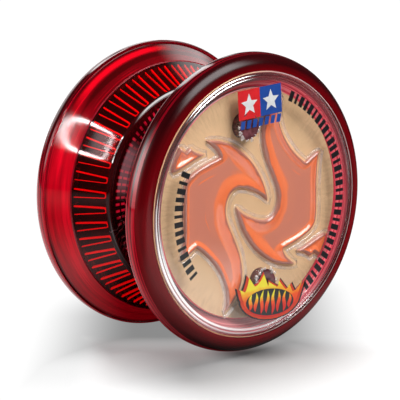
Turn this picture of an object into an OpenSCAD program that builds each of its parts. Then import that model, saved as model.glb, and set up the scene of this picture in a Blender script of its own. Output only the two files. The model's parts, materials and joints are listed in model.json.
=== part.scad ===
// Butterfly yo-yo with a ball bearing, a take-apart screw axle and two
// clear-capped translucent halves.
// The spin axis lies along Y and the origin is on it, midway between the halves.
// The front half faces -Y. +Z is up when the yo-yo stands on its two rims.
// Each half is drawn once, with its own Z as the distance out from the middle,
// and then turned to the front or to the rear.

/* [Body] */
// Overall diameter across the rims
rim_d = 57; // [56:0.5:60]
// Overall width across the two caps
body_w = 33.2; // [33:0.1:34]
// Width of the string gap between the flat walls
gap_w = 4.4; // [4.2:0.1:4.5]
// Radius at which the flat gap wall ends and the flared side starts
gap_wall_r = 20.4; // [20:0.1:20.8]
// Radius of the rounded rim
nose_r = 3.2; // [3:0.1:3.3]
// Number of stiffening ribs inside each half
rib_count = 45; // [24:1:48]
// Width of one rib
rib_w = 1.7; // [1:0.1:1.9]

/* [Face] */
// Thickness of the clear cap
cap_h = 1.2; // [1:0.1:1.4]
// Bevel on the cap's edge
cap_bevel = 0.7; // [0.4:0.1:0.9]
// Thickness of the flame insert under the cap
flame_h = 0.8; // [0.6:0.1:1]
// Thickness of the backing disc
disc_h = 0.6; // [0.4:0.1:0.8]
// Radius of the backing disc
disc_r = 22; // [21.6:0.1:22]
// Radius of the pegs that hold the cap
peg_r = 2.4; // [2:0.1:2.5]
// Distance of the pegs from the spin axis
peg_orbit = 15.3; // [15:0.1:15.4]
// Direction of the first peg, counted from the right-hand side
peg_angle = 98.5; // [96:0.5:100]

/* [Axle and bearing] */
// Diameter of the screw axle
axle_d = 4; // [3.9:0.1:4]
// Length of the screw axle
axle_len = 20; // [19.4:0.1:20]
// Width across the flats of an axle nut
nut_flats = 7; // [6.8:0.1:7]
// Thickness of an axle nut
nut_h = 3.2; // [3:0.1:3.2]
// Bore of the ball bearing
bearing_bore = 6.35; // [6.35:0.01:6.35]
// Outside diameter of the ball bearing
bearing_od = 12.7; // [12.7:0.01:12.7]
// Width of the ball bearing
bearing_w = 4.76; // [4.76:0.01:4.76]
// Diameter of one ball
ball_d = 1.588; // [1.588:0.001:1.588]
// Number of balls
ball_count = 8; // [7:1:8]

/* [String] */
// Diameter of the wound string in the gap
string_wound_d = 22.8; // [16:0.2:23]

/* [Hidden] */
$fn = 128;

play = 0.05;          // running clearance between pieces that turn or slide
rim_r = rim_d / 2;
half_w = body_w / 2;
gap_t = gap_w / 2;

// shell
nose_c_r = rim_r - nose_r;         // centre of the rounded rim
nose_t = half_w - nose_r;
cap_ledge_t = half_w - cap_h;      // the cap rests here
web_h = 2.0;                       // thickness of the flat wall at the gap
web_t = gap_t + web_h;
cup_room_r = disc_r + 0.1;         // straight bore that holds cup and disc
flare_r = cup_room_r + 1.5;        // the bore widens to this under the cap
flare_t = cap_ledge_t - 1.4;
wall_r = 19.6;                     // inner wall at the web
wall_top_t = 8.5;                  // the thin wall ends here
rib_h = 0.75;
bearing_recess_t = 2.6;
bearing_recess_r = 6.8;
ring_h = 0.6;
ring_r_in = 7.6;
ring_r_out = 10.8;

// bearing seat and bearing
seat_r = 4.2;
seat_face_t = bearing_w / 2 + 0.02;
seat_post_t = 0.2;
axle_r = axle_d / 2;
pitch_r = (bearing_bore + bearing_od) / 4;
ball_r = ball_d / 2;
groove_r = ball_r + 0.026;
inner_race_r = 4.3;
outer_race_r = 5.3;
shield_step_r = 5.75;
shield_t = 2.05;
shield_h = 0.15;
bearing_t = bearing_w / 2;
cage_r_in = 4.5;
cage_r_out = 5.05;
cage_w = 2.2;
clip_w = 0.3;
clip_gap = 0.8;

// hub cup, nut and disc
cup_wall = 1.3;
cup_floor_h = 1.4;
cup_gap = 1.0;                     // the ribs stand in this gap
cup_rise = 5.7;                    // height of the cup's sloping part
boss_r = 6.5;
nut_t = 6.4;
boss_top_t = axle_len / 2 + 0.2;
cup_top_t = cap_ledge_t - flame_h - disc_h;
disc_t = cup_top_t;
flame_t = disc_t + disc_h;
cap_r = nose_c_r - 0.1;

// ---- placing ------------------------------------------------------------

module at_front() {
  rotate([90, 0, 0]) children();
}

module at_rear() {
  rotate([0, 0, 180]) rotate([90, 0, 0]) children();
}

// Two-fold copies about the spin axis
module both_sides() {
  for (turn = [0, 180]) rotate([0, 0, turn]) children();
}

module at_pegs() {
  both_sides()
    rotate([0, 0, peg_angle]) translate([peg_orbit, 0, 0]) children();
}

// A flat ring with its lower face at t
module ring(r_in, r_out, t, h) {
  translate([0, 0, t]) difference() {
    cylinder(r = r_out, h = h);
    translate([0, 0, -1]) cylinder(r = r_in, h = h + 2);
  }
}

// ---- shell --------------------------------------------------------------

module shell_section() {
  difference() {
    union() {
      polygon([
        [seat_r + play, bearing_recess_t],
        [bearing_recess_r, bearing_recess_t],
        [bearing_recess_r, gap_t],
        [gap_wall_r, gap_t],
        [rim_r, nose_t],
        [nose_c_r + 1, cap_ledge_t],
        [flare_r, cap_ledge_t],
        [cup_room_r, flare_t],
        [cup_room_r, wall_top_t],
        [wall_r, web_t],
        [seat_r + play, web_t]
      ]);
      intersection() {
        translate([nose_c_r, nose_t]) circle(r = nose_r);
        translate([nose_c_r, nose_t]) square(nose_r + 1);
      }
    }
    translate([ring_r_in - play, gap_t - 1])
      square([ring_r_out - ring_r_in + 2 * play, ring_h + 1]);
  }
}

module rib() {
  rotate([90, 0, 0])
    linear_extrude(height = rib_w, center = true)
      polygon([
        [wall_r - rib_h, web_t - 0.1],
        [wall_r + 0.3, web_t - 0.1],
        [cup_room_r + 0.3, wall_top_t + 0.1],
        [cup_room_r - rib_h, wall_top_t + 0.1]
      ]);
}

module half_shell() {
  color("darkred") union() {
    rotate_extrude() shell_section();
    for (i = [0 : rib_count - 1])
      rotate([0, 0, i * 360 / rib_count]) rib();
    at_pegs() translate([0, 0, web_t - 0.5])
      cylinder(r = peg_r, h = half_w - 0.1 - web_t + 0.5, $fn = 64);
  }
}

module response_ring() {
  color("white") ring(ring_r_in, ring_r_out, gap_t, ring_h);
}

// ---- hub cup and nut ----------------------------------------------------

module cup_section() {
  base_r = wall_r - cup_gap;
  rim_out_r = disc_r;
  slope_top_t = web_t + cup_rise;
  polygon([
    [axle_r + 0.2, web_t],
    [base_r, web_t],
    [rim_out_r, slope_top_t],
    [rim_out_r, cup_top_t],
    [rim_out_r - cup_wall, cup_top_t],
    [rim_out_r - cup_wall, slope_top_t + 0.5],
    [base_r - cup_wall, web_t + cup_floor_h],
    [boss_r, web_t + cup_floor_h],
    [boss_r, boss_top_t],
    [axle_r + 0.2, boss_top_t]
  ]);
}

module hub_cup() {
  color("#1a1216") difference() {
    rotate_extrude() cup_section();
    translate([0, 0, nut_t])
      cylinder(d = (nut_flats + 0.1) / cos(30), h = boss_top_t, $fn = 6);
    at_pegs() translate([0, 0, web_t - 1])
      cylinder(r = peg_r + play, h = half_w, $fn = 64);
  }
}

module axle_nut() {
  color("silver") translate([0, 0, nut_t]) difference() {
    cylinder(d = nut_flats / cos(30), h = nut_h, $fn = 6);
    translate([0, 0, -1]) cylinder(r = axle_r + play, h = nut_h + 2, $fn = 64);
  }
}

module bearing_seat() {
  color("gainsboro") difference() {
    union() {
      translate([0, 0, seat_face_t]) cylinder(r = seat_r, h = web_t - play - seat_face_t);
      translate([0, 0, seat_post_t])
        cylinder(r = bearing_bore / 2 - 0.035, h = seat_face_t - seat_post_t + 0.5);
    }
    translate([0, 0, -1]) cylinder(r = axle_r + 0.1, h = web_t + 2);
  }
}

// ---- face ---------------------------------------------------------------

module backing_disc() {
  color("burlywood") difference() {
    translate([0, 0, disc_t]) cylinder(r = disc_r, h = disc_h);
    at_pegs() translate([0, 0, disc_t - 1])
      cylinder(r = peg_r + play, h = disc_h + 2, $fn = 64);
  }
}

module cap() {
  color("aliceblue", 0.4) difference() {
    rotate_extrude() polygon([
      [0, cap_ledge_t],
      [cap_r, cap_ledge_t],
      [cap_r, half_w - cap_bevel],
      [cap_r - cap_bevel, half_w],
      [0, half_w]
    ]);
    at_pegs() translate([0, 0, cap_ledge_t - 1])
      cylinder(r = peg_r + play, h = cap_h + 2, $fn = 64);
  }
}

// A cubic curve through a span of four points, without its last point
function span_points(s, n) = [
  for (i = [0 : n - 1])
    let (u = i / n, v = 1 - u)
      v * v * v * s[0] + 3 * v * v * u * s[1] + 3 * v * u * u * s[2] + u * u * u * s[3]
];

function outline(spans, n) = [for (s = spans) each span_points(s, n)];

// Corners and hollows of one large flame, in millimetres from the spin axis
lobe_tip = [-11.3, 13.2];
lobe_heart = [4.0, 0.1];
lobe_curl = [-3.6, 3.5];
lobe_waist = [-6.6, -0.2];
lobe_hip = [-2.4, -12.5];
lobe_tail = [-7.0, -20.0];
lobe_crook = [-13.8, -6.4];
lobe_barb = [-17.4, -8.2];
lobe_shoulder = [-16.6, 5.4];
lobe_notch = [-8.0, 9.8];

lobe_spans = [
  [lobe_tip, [-4.5, 13.5], [2.6, 7.5], lobe_heart],
  [lobe_heart, [2.0, 2.0], [-1.0, 3.3], lobe_curl],
  [lobe_curl, [-5.3, 3.3], [-6.5, 1.8], lobe_waist],
  [lobe_waist, [-6.7, -3.6], [-2.9, -6.9], lobe_hip],
  [lobe_hip, [-2.2, -15.8], [-4.4, -18.2], lobe_tail],
  [lobe_tail, [-5.0, -15.6], [-8.4, -9.8], lobe_crook],
  [lobe_crook, [-15.0, -7.2], [-16.2, -8.0], lobe_barb],
  [lobe_barb, [-16.2, -4.6], [-17.2, 1.4], lobe_shoulder],
  [lobe_shoulder, [-15.8, 8.0], [-10.8, 9.0], lobe_notch],
  [lobe_notch, [-8.4, 11.2], [-9.8, 12.1], lobe_tip]
];

// The small separate flame beside each large one
wisp_point = [-11.6, 10.7];
wisp_foot = [-19.4, 8.2];
wisp_peak = [-17.6, 12.6];
wisp_dip = [-16.2, 11.6];
wisp_crest = [-15.2, 12.3];

wisp_spans = [
  [wisp_point, [-14.2, 10.2], [-16.8, 8.6], wisp_foot],
  [wisp_foot, [-19.8, 9.4], [-18.6, 11.4], wisp_peak],
  [wisp_peak, [-17.0, 12.2], [-16.6, 11.8], wisp_dip],
  [wisp_dip, [-15.9, 11.9], [-15.6, 12.1], wisp_crest],
  [wisp_crest, [-14.2, 11.4], [-12.6, 10.9], wisp_point]
];

module flames() {
  color("orangered", 0.7) both_sides()
    translate([0, 0, flame_t]) linear_extrude(height = flame_h)
      polygon(outline(lobe_spans, 6));
}

module flame_tips() {
  color("orangered", 0.7) both_sides()
    translate([0, 0, flame_t]) linear_extrude(height = flame_h)
      polygon(outline(wisp_spans, 4));
}

// ---- axle and bearing ---------------------------------------------------

module axle() {
  color("silver") rotate([90, 0, 0])
    cylinder(r = axle_r, h = axle_len, center = true, $fn = 64);
}

module ball_groove() {
  rotate_extrude() translate([pitch_r, 0]) circle(r = groove_r, $fn = 48);
}

module bearing_inner_race() {
  color("lightsteelblue") rotate([90, 0, 0]) difference() {
    ring(bearing_bore / 2, inner_race_r, -bearing_t, bearing_w);
    ball_groove();
  }
}

module bearing_outer_race() {
  color("lightsteelblue") rotate([90, 0, 0]) difference() {
    ring(outer_race_r, bearing_od / 2, -bearing_t, bearing_w);
    ball_groove();
    for (t = [-bearing_t - 1, shield_t])
      translate([0, 0, t]) cylinder(r = shield_step_r, h = bearing_t + 1 - shield_t);
  }
}

module at_balls() {
  for (i = [0 : ball_count - 1])
    rotate([0, 0, i * 360 / ball_count]) translate([pitch_r, 0, 0]) children();
}

module bearing_balls() {
  color("silver") rotate([90, 0, 0]) at_balls() sphere(r = ball_r, $fn = 48);
}

module bearing_cage() {
  color("peru") rotate([90, 0, 0]) difference() {
    ring(cage_r_in, cage_r_out, -cage_w / 2, cage_w);
    at_balls() rotate([0, 90, 0])
      cylinder(r = ball_r + play, h = 2 * ball_r, center = true, $fn = 48);
  }
}

module bearing_shield() {
  color("gainsboro") ring(cage_r_in, shield_step_r, shield_t, shield_h);
}

// A spring wire ring with a gap, which keeps the shield in its step
module shield_clip() {
  color("gray") difference() {
    ring(shield_step_r - clip_w, shield_step_r, shield_t + shield_h, shield_h);
    translate([0, -clip_gap / 2, 0]) cube([bearing_od, clip_gap, bearing_w]);
  }
}

// ---- string -------------------------------------------------------------

module string() {
  color("ivory") rotate([90, 0, 0])
    ring(bearing_od / 2, string_wound_d / 2, -gap_t + 0.25, gap_w - 0.5);
}

// ---- nodes --------------------------------------------------------------

at_rear() half_shell();  // rear_half_shell
at_rear() hub_cup();  // rear_hub_cup
at_rear() backing_disc();  // rear_backing_disc
at_rear() flames();  // rear_flames
at_rear() flame_tips();  // rear_flame_tips
at_rear() cap();  // rear_cap
at_rear() axle_nut();  // rear_axle_nut
at_rear() bearing_seat();  // rear_bearing_seat
at_rear() response_ring();  // rear_response_ring
at_front() half_shell();  // front_half_shell
at_front() hub_cup();  // front_hub_cup
at_front() backing_disc();  // front_backing_disc
at_front() flames();  // front_flames
at_front() flame_tips();  // front_flame_tips
at_front() cap();  // front_cap
at_front() axle_nut();  // front_axle_nut
at_front() bearing_seat();  // front_bearing_seat
at_front() response_ring();  // front_response_ring
axle();
bearing_inner_race();
bearing_outer_race();
bearing_balls();
bearing_cage();
at_front() bearing_shield();  // front_bearing_shield
at_rear() bearing_shield();  // rear_bearing_shield
at_front() shield_clip();  // front_shield_clip
at_rear() shield_clip();  // rear_shield_clip
string();
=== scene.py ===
import json
import math
import random

import bmesh
import bpy
import numpy as np
from mathutils import Matrix, Vector
from mathutils.geometry import delaunay_2d_cdt

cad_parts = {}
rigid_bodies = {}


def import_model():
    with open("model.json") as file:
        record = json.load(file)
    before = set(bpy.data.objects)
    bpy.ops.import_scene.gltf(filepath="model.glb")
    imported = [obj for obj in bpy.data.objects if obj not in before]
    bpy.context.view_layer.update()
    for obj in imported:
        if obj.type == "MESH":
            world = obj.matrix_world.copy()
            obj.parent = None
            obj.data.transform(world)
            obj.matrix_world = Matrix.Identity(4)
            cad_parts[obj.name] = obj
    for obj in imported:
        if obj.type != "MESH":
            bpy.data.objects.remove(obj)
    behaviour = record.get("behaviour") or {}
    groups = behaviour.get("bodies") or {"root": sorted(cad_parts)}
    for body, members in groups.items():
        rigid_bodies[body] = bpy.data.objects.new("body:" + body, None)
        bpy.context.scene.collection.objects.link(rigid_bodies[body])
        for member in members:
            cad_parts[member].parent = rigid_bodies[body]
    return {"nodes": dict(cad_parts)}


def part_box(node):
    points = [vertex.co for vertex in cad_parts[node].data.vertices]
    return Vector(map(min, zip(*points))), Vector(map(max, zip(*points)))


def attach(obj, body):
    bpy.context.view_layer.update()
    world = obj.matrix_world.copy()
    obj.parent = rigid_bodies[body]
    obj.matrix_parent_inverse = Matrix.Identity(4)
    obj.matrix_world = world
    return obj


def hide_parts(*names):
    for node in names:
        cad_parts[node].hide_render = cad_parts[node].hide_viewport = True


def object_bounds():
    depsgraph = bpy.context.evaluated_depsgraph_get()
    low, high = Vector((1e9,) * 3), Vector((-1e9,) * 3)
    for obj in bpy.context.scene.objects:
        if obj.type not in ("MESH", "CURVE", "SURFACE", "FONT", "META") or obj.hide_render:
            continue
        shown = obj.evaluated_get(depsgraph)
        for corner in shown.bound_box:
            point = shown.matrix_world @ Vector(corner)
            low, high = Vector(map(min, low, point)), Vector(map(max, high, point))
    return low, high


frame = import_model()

CAD_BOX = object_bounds()
MM = 0.001
random.seed(7)


# ---- sizes, read from the frame, in millimetres --------------------------------
# A half is described by its radius from the spin axis and by t, the distance out
# from the middle of the yo-yo.

def reach(node):
    """(largest radius, nearest t, farthest t) of a node of the front half."""
    low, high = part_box(node)
    return high.x / MM, -high.y / MM, -low.y / MM


RIM_R, GAP_T, HALF_W = reach("front_half_shell")
CAP_R, CAP_T, _ = reach("front_cap")
DISC_R, DISC_T, FLAME_T = reach("front_backing_disc")
RING_R, _, RING_T = reach("front_response_ring")
SEAT_R = reach("front_bearing_seat")[0]
AXLE_R, AXLE_LOW, AXLE_END = reach("axle")
STRING_R, _, STRING_T = reach("string")
BEARING_R = reach("bearing_outer_race")[0]

NOSE_R = 3.2                      # radius of the rounded rim
NOSE_C = RIM_R - NOSE_R           # centre of that rounding
NOSE_T = HALF_W - NOSE_R
GAP_WALL_R = 20.4                 # the flat gap wall ends here and the flare starts
WEB_T = GAP_T + 2.0               # back of the flat wall
WALL_TOP_T = 8.5                  # the thin wall ends here
ROOM_R = DISC_R + 0.1             # bore that holds the cup and the disc
FLARE_R = ROOM_R + 1.5            # that bore's width just under the cap
FLARE_T = CAP_T - 1.4
FLARE_SLOPE = (RIM_R - GAP_WALL_R) / (NOSE_T - GAP_T)
RECESS_R, RECESS_T = 6.8, 2.6     # room for the bearing
RING_IN_R = 7.6
RIB_COUNT = 45
PEG_R, PEG_ORBIT, PEG_ANGLE = 2.4, 15.3, 98.5
PLAY = 0.05                       # clearance round the parts that sit in the shell

HALVES = ("front", "rear")


# ---- mesh helpers ---------------------------------------------------------------

def place(half, x, y, t):
    """A point of a half, in metres. x is to the right and y up, seen from outside that half."""
    if half == "front":
        return Vector((x, -t, y)) * MM
    return Vector((-x, t, y)) * MM


def polar(radius, degrees):
    a = math.radians(degrees)
    return Vector((radius * math.cos(a), radius * math.sin(a)))


def arc(centre_r, centre_t, radius, start, end, steps):
    """Points of an arc in the (radius, t) plane, from start to end degrees."""
    points = []
    for i in range(steps + 1):
        a = math.radians(start + (end - start) * i / steps)
        points.append((centre_r + radius * math.cos(a), centre_t + radius * math.sin(a)))
    return points


def circle(radius, steps):
    """Points round a circle, from the right upwards."""
    angles = [2 * math.pi * i / steps for i in range(steps)]
    return [(radius * math.cos(a), radius * math.sin(a)) for a in angles]


def spread(start, end, steps):
    return [start + (end - start) * i / steps for i in range(steps + 1)]


def new_object(name, data):
    piece = bpy.data.objects.new(name, data)
    bpy.context.scene.collection.objects.link(piece)
    return piece


def mesh_object(name, bm):
    mesh = bpy.data.meshes.new(name)
    bm.to_mesh(mesh)
    bm.free()
    return new_object(name, mesh)


def finish_mesh(name, bm, materials, body, crease=35):
    """Makes the piece from a bmesh, smooth except across edges sharper than crease degrees."""
    bmesh.ops.remove_doubles(bm, verts=bm.verts, dist=1e-7)
    bmesh.ops.recalc_face_normals(bm, faces=bm.faces)
    piece = mesh_object(name, bm)
    piece.data.shade_smooth()
    piece.data.set_sharp_from_angle(angle=math.radians(crease))
    for material in materials:
        piece.data.materials.append(material)
    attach(piece, body)
    return piece


def supported(profile, zones, margin=0.06):
    """The same closed profile with points close to both ends of its long stretches, so that
    smooth shading bends only at the corners."""
    points, point_zones = [], []
    for k, (start, zone) in enumerate(zip(profile, zones)):
        a, b = Vector(start), Vector(profile[(k + 1) % len(profile)])
        points.append(tuple(a))
        point_zones.append(zone)
        length = (b - a).length
        if length > 6 * margin:
            for share in (margin / length, 1 - margin / length):
                points.append(tuple(a.lerp(b, share)))
                point_zones.append(zone)
    return points, point_zones


def bridge(bm, rings, zones=None):
    """Faces between each ring of points and the next. A ring may be a single point. zones gives
    a material index for the faces after each ring."""
    steps = max(len(ring) for ring in rings)
    for k, (ring, other) in enumerate(zip(rings, rings[1:])):
        if len(ring) == 1 and len(other) == 1:
            continue
        for i in range(steps):
            j = (i + 1) % steps
            corners = [ring[i % len(ring)], ring[j % len(ring)], other[j % len(other)], other[i % len(other)]]
            face = bm.faces.new(list(dict.fromkeys(corners)))
            face.material_index = zones[k] if zones else 0


def tube(bm, rings):
    """A solid between the first and the last of a row of rings."""
    bridge(bm, rings)
    bm.faces.new(rings[0])
    bm.faces.new(rings[-1])


def lathe(bm, half, profile, steps, zones=None):
    """Turns a closed (radius, t) profile about the spin axis. zones gives a material index for
    the stretch after each point."""
    profile, zones = supported(profile, zones or [0] * len(profile))
    rings = []
    for r, t in profile:
        points = circle(r, steps) if r > 0 else [(0, 0)]
        rings.append([bm.verts.new(place(half, x, y, t)) for x, y in points])
    bridge(bm, rings + rings[:1], zones)


def zoned(*runs):
    """One closed row of points and the zone of each, from (zone, points) runs."""
    points = [point for _, run in runs for point in run]
    zones = [zone for zone, run in runs for _ in run]
    return points, zones


def curve_points(span, steps):
    """Points of a cubic curve through a span of four, without the last one."""
    a, b, c, d = (Vector(p) for p in span)
    points = []
    for i in range(steps):
        u = i / steps
        v = 1 - u
        points.append(v * v * v * a + 3 * v * v * u * b + 3 * v * u * u * c + u * u * u * d)
    return points


def even_outline(points, spacing):
    """The same closed outline with points about spacing apart."""
    result = []
    for i, p in enumerate(points):
        q = points[(i + 1) % len(points)]
        pieces = max(1, round((q - p).length / spacing))
        result += [p.lerp(q, j / pieces) for j in range(pieces)]
    return result


def edge_distance(points, outline):
    """Distance of each point from a closed outline."""
    p = np.array(points, float)[:, None, :]
    a = np.array(outline, float)
    b = np.roll(a, -1, axis=0)
    d = b - a
    along = ((p - a) * d).sum(2) / np.maximum((d * d).sum(1), 1e-12)
    nearest = a + np.clip(along, 0, 1)[..., None] * d
    return np.sqrt(((p - nearest) ** 2).sum(2)).min(1)


def line_distance(points, line):
    """Distance of each point from the nearest point of a close row of points."""
    p = np.array(points, float)[:, None, :]
    return np.sqrt(((p - np.array(line, float)) ** 2).sum(2)).min(1)


def is_inside(points, outline):
    p = np.array(points, float)
    a = np.array(outline, float)
    b = np.roll(a, -1, axis=0)
    x, y = p[:, 0:1], p[:, 1:2]
    crosses = (a[:, 1] > y) != (b[:, 1] > y)
    rise = np.where(b[:, 1] == a[:, 1], 1e-12, b[:, 1] - a[:, 1])
    at = a[:, 0] + (y - a[:, 1]) * (b[:, 0] - a[:, 0]) / rise
    return ((crosses & (x < at)).sum(1) % 2) == 1


def fill(outline, inner=()):
    """Points and triangles that fill an outline, which may have hollows."""
    n = len(outline)
    points, _, faces, _, _, _ = delaunay_2d_cdt(
        list(outline) + list(inner), [(i, (i + 1) % n) for i in range(n)], [], 0, 1e-6, False)
    middles = [sum((points[i] for i in face), Vector((0, 0))) / len(face) for face in faces]
    kept = is_inside(middles, outline)
    return points, [face for face, keep in zip(faces, kept) if keep]


def close_plate(bm, faces, top, bottom):
    """Faces of a plate between two layers of the same points."""
    uses = {}
    for face in faces:
        bm.faces.new([top[i] for i in face])
        bm.faces.new([bottom[i] for i in reversed(face)])
        for i, j in zip(face, face[1:] + face[:1]):
            uses[frozenset((i, j))] = uses.get(frozenset((i, j)), 0) + 1
    for i, j in (tuple(e) for e, count in uses.items() if count == 1):
        bm.faces.new([top[i], top[j], bottom[j], bottom[i]])


def plate(bm, half, points, faces, base_t, tops):
    """A closed solid from base_t to the height of each point. Gives its top points."""
    top, bottom = [], []
    for p, t in zip(points, tops):
        top.append(bm.verts.new(place(half, p.x, p.y, t)))
        bottom.append(bm.verts.new(place(half, p.x, p.y, base_t)))
    close_plate(bm, faces, top, bottom)
    return top


def edge_normals(outline):
    """The direction across a closed outline at each of its points, to the right of its run."""
    normals = []
    for i in range(len(outline)):
        side = outline[(i + 1) % len(outline)] - outline[i - 1]
        normals.append(Vector((side.y, -side.x)).normalized())
    return normals


def relief(bm, half, outline, broad, base_t, height, offsets, spacing):
    """A closed solid over an outline. Its top is height(distance from the edge) above base_t.
    Distances over BROAD_EDGE shrink near the points that broad marks, so their border is wider.
    The distance is stored on the points, in millimetres, for the material to read."""
    extra = []
    for p, normal in zip(outline, edge_normals(outline)):
        for offset in offsets:
            extra += [(offset, p - normal * offset), (offset, p + normal * offset)]
    low = np.array(outline).min(0)
    high = np.array(outline).max(0)
    row, y = 0, low[1]
    while y < high[1]:
        x = low[0] + (spacing / 2 if row % 2 else 0)
        while x < high[0]:
            extra.append((offsets[-1] + spacing / 2, Vector((x, y))))
            x += spacing
        y += spacing * 0.87
        row += 1
    candidates = [p for _, p in extra]
    depth = edge_distance(candidates, outline)
    wanted = np.array([w for w, _ in extra])
    keep = is_inside(candidates, outline) & (depth > wanted * 0.93)
    inner = [candidates[i] for i in np.nonzero(keep)[0]]
    points, faces = fill(outline, inner)
    depth = edge_distance(points, outline)
    if any(broad):
        to_broad = line_distance(points, [p for p, wide in zip(outline, broad) if wide])
        to_narrow = line_distance(points, [p for p, wide in zip(outline, broad) if not wide])
        nearer = np.clip(0.5 + (to_narrow - to_broad) / BROAD_BLEND, 0, 1)
        shrink = 1 + BROAD_GAIN * nearer * nearer * (3 - 2 * nearer)
        depth = np.minimum(depth, BROAD_EDGE) + np.maximum(depth - BROAD_EDGE, 0) / shrink
    layer = bm.verts.layers.float.get("edge_mm") or bm.verts.layers.float.new("edge_mm")
    top = plate(bm, half, points, faces, base_t, [base_t + height(d) for d in depth])
    for v, d in zip(top, depth):
        v[layer] = d


def bead(bm, half, outline, base_t, off, width, height):
    """A rounded bead that runs round the outside of an outline, off from it by its middle."""
    offsets = [off + width * u / 8 for u in range(-4, 5)]
    area = sum(outline[i - 1].cross(outline[i]) for i in range(len(outline)))
    points, wanted = [], []
    for p, normal in zip(outline, edge_normals(outline)):
        outward = normal if area > 0 else -normal
        for offset in offsets:
            points.append(p + outward * offset)
            wanted.append(offset)
    depth = edge_distance(points, outline)
    keep = ~is_inside(points, outline) & (depth > np.array(wanted) * 0.96)
    points = [points[i] for i in np.nonzero(keep)[0]]
    points, _, faces, _, _, _ = delaunay_2d_cdt(points, [], [], 0, 1e-4, False)
    middles = [sum((points[i] for i in face), Vector((0, 0))) / len(face) for face in faces]
    gap = edge_distance(middles, outline)
    sides = [[(points[i] - points[j]).length for i, j in zip(face, face[1:] + face[:1])] for face in faces]
    short = np.array([max(lengths) for lengths in sides]) < 1.2
    good = ~is_inside(middles, outline) & (np.abs(gap - off) < width / 2) & short
    faces = [face for face, fine in zip(faces, good) if fine]
    across = (edge_distance(points, outline) - off) / (width / 2)
    rises = [math.sqrt(max(0.0, 1 - u * u)) for u in across]
    plate(bm, half, points, faces, base_t, [base_t + height * max(rise, 0.02) for rise in rises])
    bmesh.ops.delete(bm, geom=[v for v in bm.verts if not v.link_faces], context="VERTS")


def flat_shape(bm, half, outline, base_t, top_t):
    """A thin closed plate over an outline."""
    points, faces = fill(outline)
    plate(bm, half, points, faces, base_t, [top_t] * len(points))


# ---- material helpers -----------------------------------------------------------

class Value:
    """A value that nodes work out, which takes part in sums like a number."""

    def __init__(self, shader, socket):
        self.shader = shader
        self.socket = socket

    def __add__(self, other):
        return self.shader.math("ADD", self, other)

    def __sub__(self, other):
        return self.shader.math("SUBTRACT", self, other)

    def __rsub__(self, other):
        return self.shader.math("SUBTRACT", other, self)

    def __mul__(self, other):
        return self.shader.math("MULTIPLY", self, other)

    def __abs__(self):
        return self.shader.math("ABSOLUTE", self)


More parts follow.
